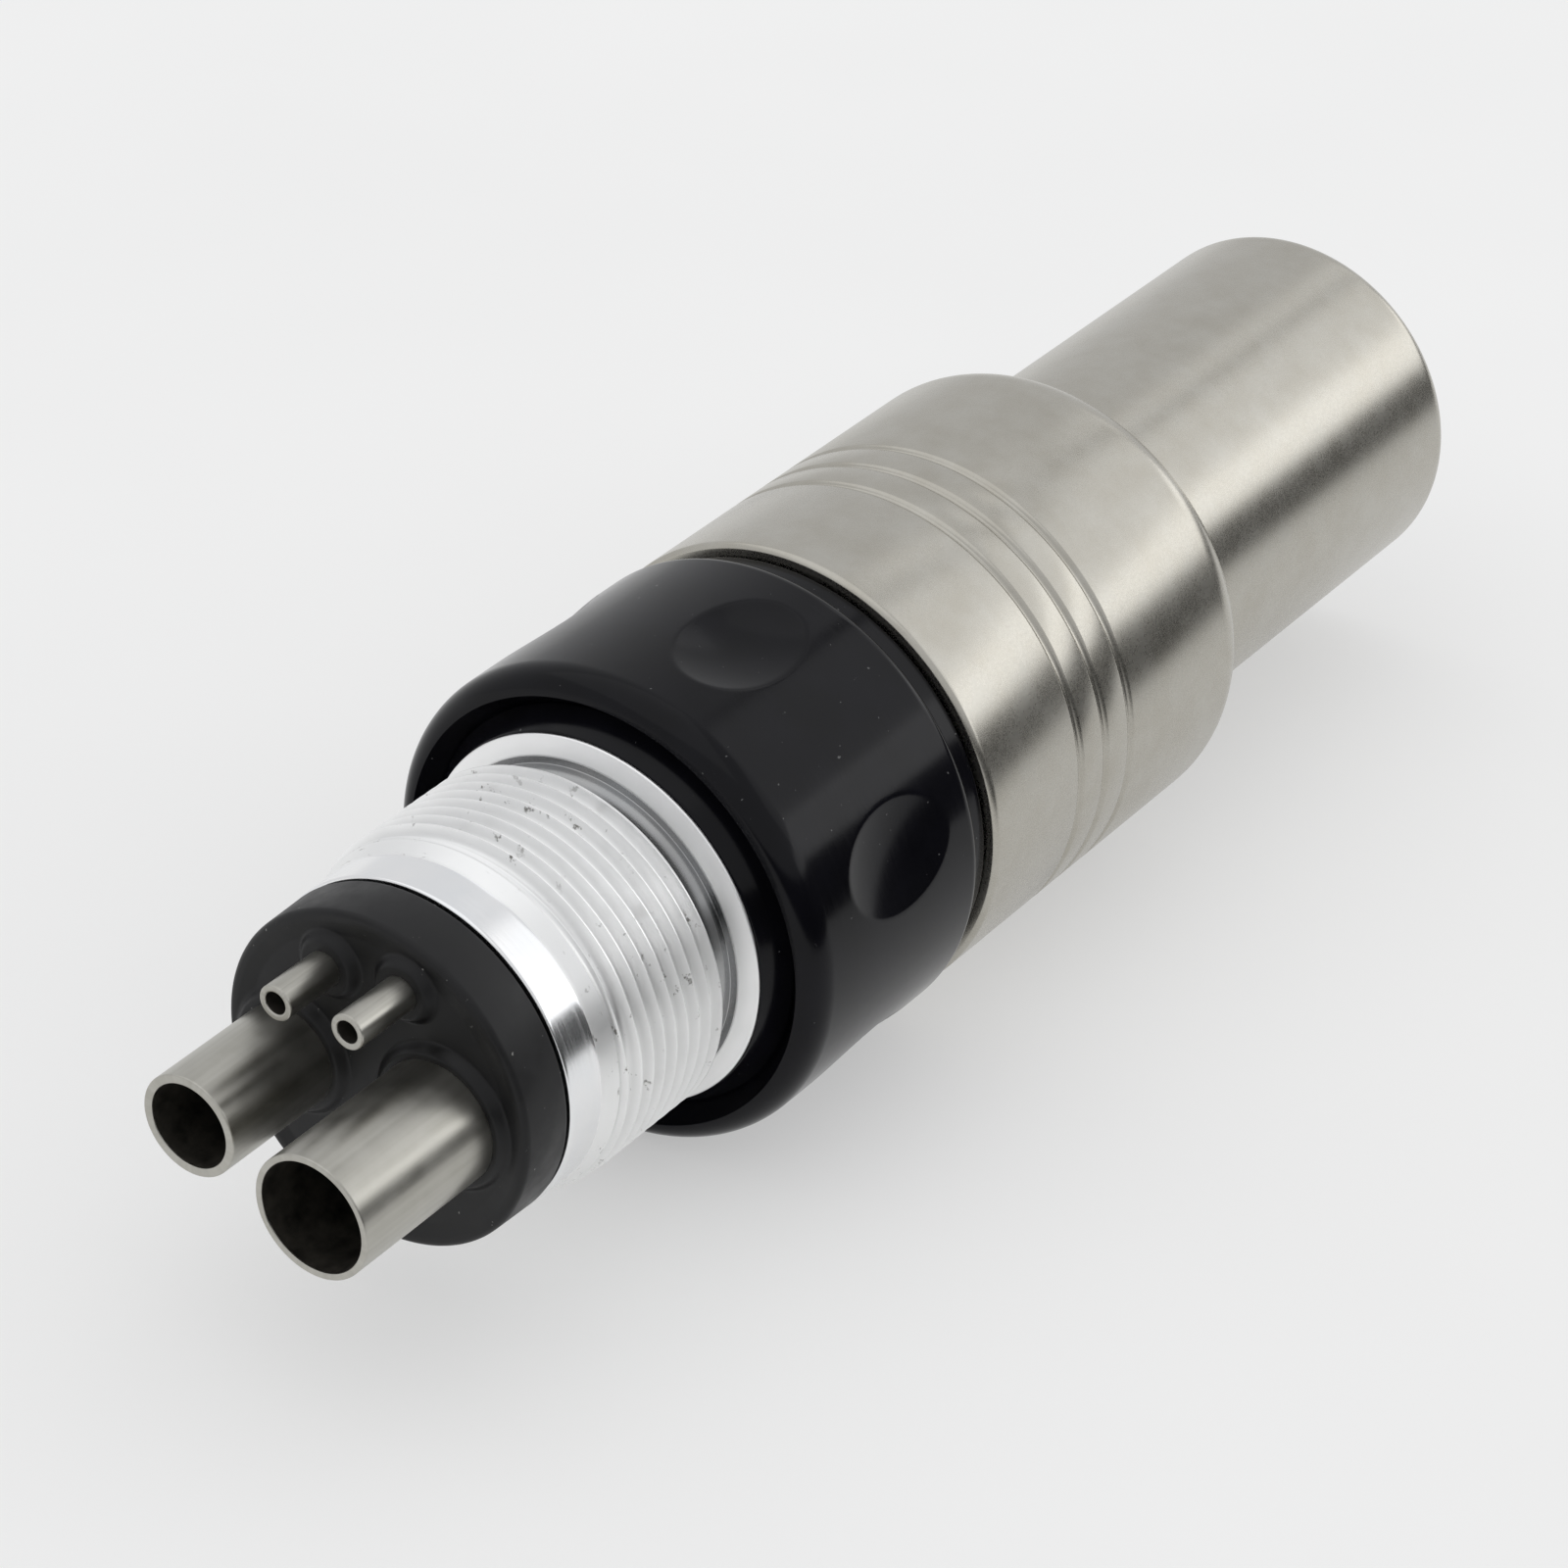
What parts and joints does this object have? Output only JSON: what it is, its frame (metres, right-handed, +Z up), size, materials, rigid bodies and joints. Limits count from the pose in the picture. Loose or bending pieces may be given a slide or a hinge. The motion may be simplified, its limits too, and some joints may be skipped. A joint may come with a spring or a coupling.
{
  "type": "air-driven dental handpiece motor",
  "caption": "Slim cylindrical air motor for dental handpieces, with a threaded hose connector, hose tubes, a dimpled control ring, a grooved metal case and a narrow nose.",
  "frame": {"origin": "centre of the bounding box's underside, on the surface the motor lies on", "axes": "+X along the motor's axis from the hose tubes to the nose, +Z up, motor lying on its side"},
  "size_m": [0.0614, 0.017, 0.017],
  "materials": {
    "rubber": "matt black rubber",
    "tube_steel": "drawn stainless tube, satin",
    "bright_aluminium": "turned and polished, bright",
    "gloss_black": "gloss black, smooth",
    "brass": "turned brass",
    "porous_polymer": "sintered, rough",
    "gear_steel": "ground hardened steel",
    "end_plate_steel": "ground dark steel",
    "vane_resin": "laminated phenolic, matt",
    "satin_steel": "fine satin stainless steel"
  },
  "bodies": {
    "motor_body": {"hose_gasket": "rubber", "exhaust_tube": "tube_steel", "drive_air_tube": "tube_steel", "water_tube": "tube_steel", "chip_air_tube": "tube_steel", "connector_body": "bright_aluminium", "ring_retainer": "gloss_black", "case_spacer": "gloss_black", "motor_case": "satin_steel", "nose_barrel": "satin_steel", "valve_core": "brass", "ring_oring_front": "rubber", "ring_oring_rear": "rubber", "case_oring": "rubber", "exhaust_muffler": "porous_polymer", "detent_ball": "gear_steel", "detent_spring": "gear_steel", "rear_end_plate": "end_plate_steel", "cylinder_liner": "gear_steel", "front_end_plate": "end_plate_steel", "locating_pin_rear": "gear_steel", "locating_pin_front": "gear_steel", "preload_washer": "gear_steel", "rear_bearing_outer": "gear_steel", "front_bearing_outer": "gear_steel", "nose_oring": "rubber", "shaft_seal": "rubber", "nose_bushing": "brass"},
    "control_ring": {"control_ring": "gloss_black"},
    "rotor": {"rotor_shaft": "gear_steel", "rotor": "end_plate_steel", "vane_1": "vane_resin", "vane_2": "vane_resin", "vane_3": "vane_resin", "vane_4": "vane_resin", "rear_bearing_inner": "gear_steel", "front_bearing_inner": "gear_steel", "rotor_circlip": "gear_steel", "spring_seat": "gear_steel", "dog_spring": "gear_steel"},
    "rear_bearing_cage": {"rear_bearing_balls": "gear_steel"},
    "front_bearing_cage": {"front_bearing_balls": "gear_steel"},
    "drive_dog": {"drive_dog": "gear_steel", "dog_pin": "gear_steel"}
  },
  "joints": [
    {"name": "ring_turn", "type": "hinge", "parent": "motor_body", "child": "control_ring", "pos_m": [-0.00838, 0, 0.0085], "axis": [1, 0, 0], "range_deg": [-35, 35]},
    {"name": "rotor_spin", "type": "hinge", "parent": "motor_body", "child": "rotor", "pos_m": [0.00562, 0, 0.0085], "axis": [1, 0, 0], "continuous": true},
    {"name": "rear_cage_spin", "type": "hinge", "parent": "motor_body", "child": "rear_bearing_cage", "pos_m": [0.00042, 0, 0.0085], "axis": [1, 0, 0], "continuous": true},
    {"name": "front_cage_spin", "type": "hinge", "parent": "motor_body", "child": "front_bearing_cage", "pos_m": [0.01018, 0, 0.0085], "axis": [1, 0, 0], "continuous": true},
    {"name": "dog_slide", "type": "slide", "parent": "rotor", "child": "drive_dog", "axis": [1, 0, 0], "range_m": [-0.0012, 0], "stiffness_N_per_m": 800, "springref_m": 0.0008, "deforming": ["dog_spring"]}
  ],
  "couplings": [
    {"joint": "rear_cage_spin", "follows": "rotor_spin", "ratio": 0.42},
    {"joint": "front_cage_spin", "follows": "rotor_spin", "ratio": 0.42}
  ]
}
